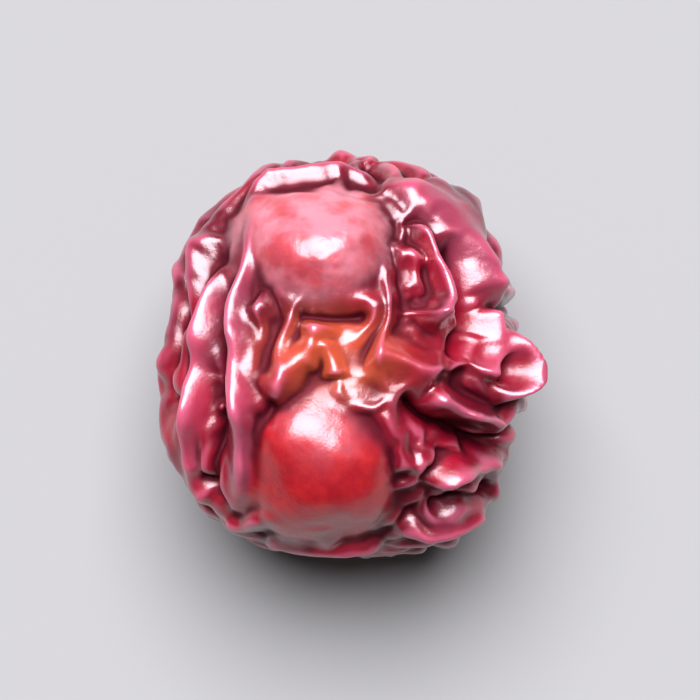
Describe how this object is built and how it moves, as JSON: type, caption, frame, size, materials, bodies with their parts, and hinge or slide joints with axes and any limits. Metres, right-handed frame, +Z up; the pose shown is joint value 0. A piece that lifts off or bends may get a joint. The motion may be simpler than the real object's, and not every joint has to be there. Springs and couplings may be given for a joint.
{
  "type": "dried schisandra berry",
  "caption": "Dried oval berry lying on its side, its shrunken skin drawn over seed bulges and gathered in deep pleats, with a small flat spot to rest on.",
  "frame": {"origin": "on the surface that the berry rests on, under the middle of its box", "axes": "+Y along the berry's long axis, towards the end where its stalk was; +Z up through its crown, where the seeds lift the skin"},
  "size_m": [0.0064, 0.007, 0.0052],
  "materials": {
    "berry_skin": "oily sheen"
  },
  "bodies": {
    "root": {"berry": "berry_skin"}
  },
  "joints": []
}
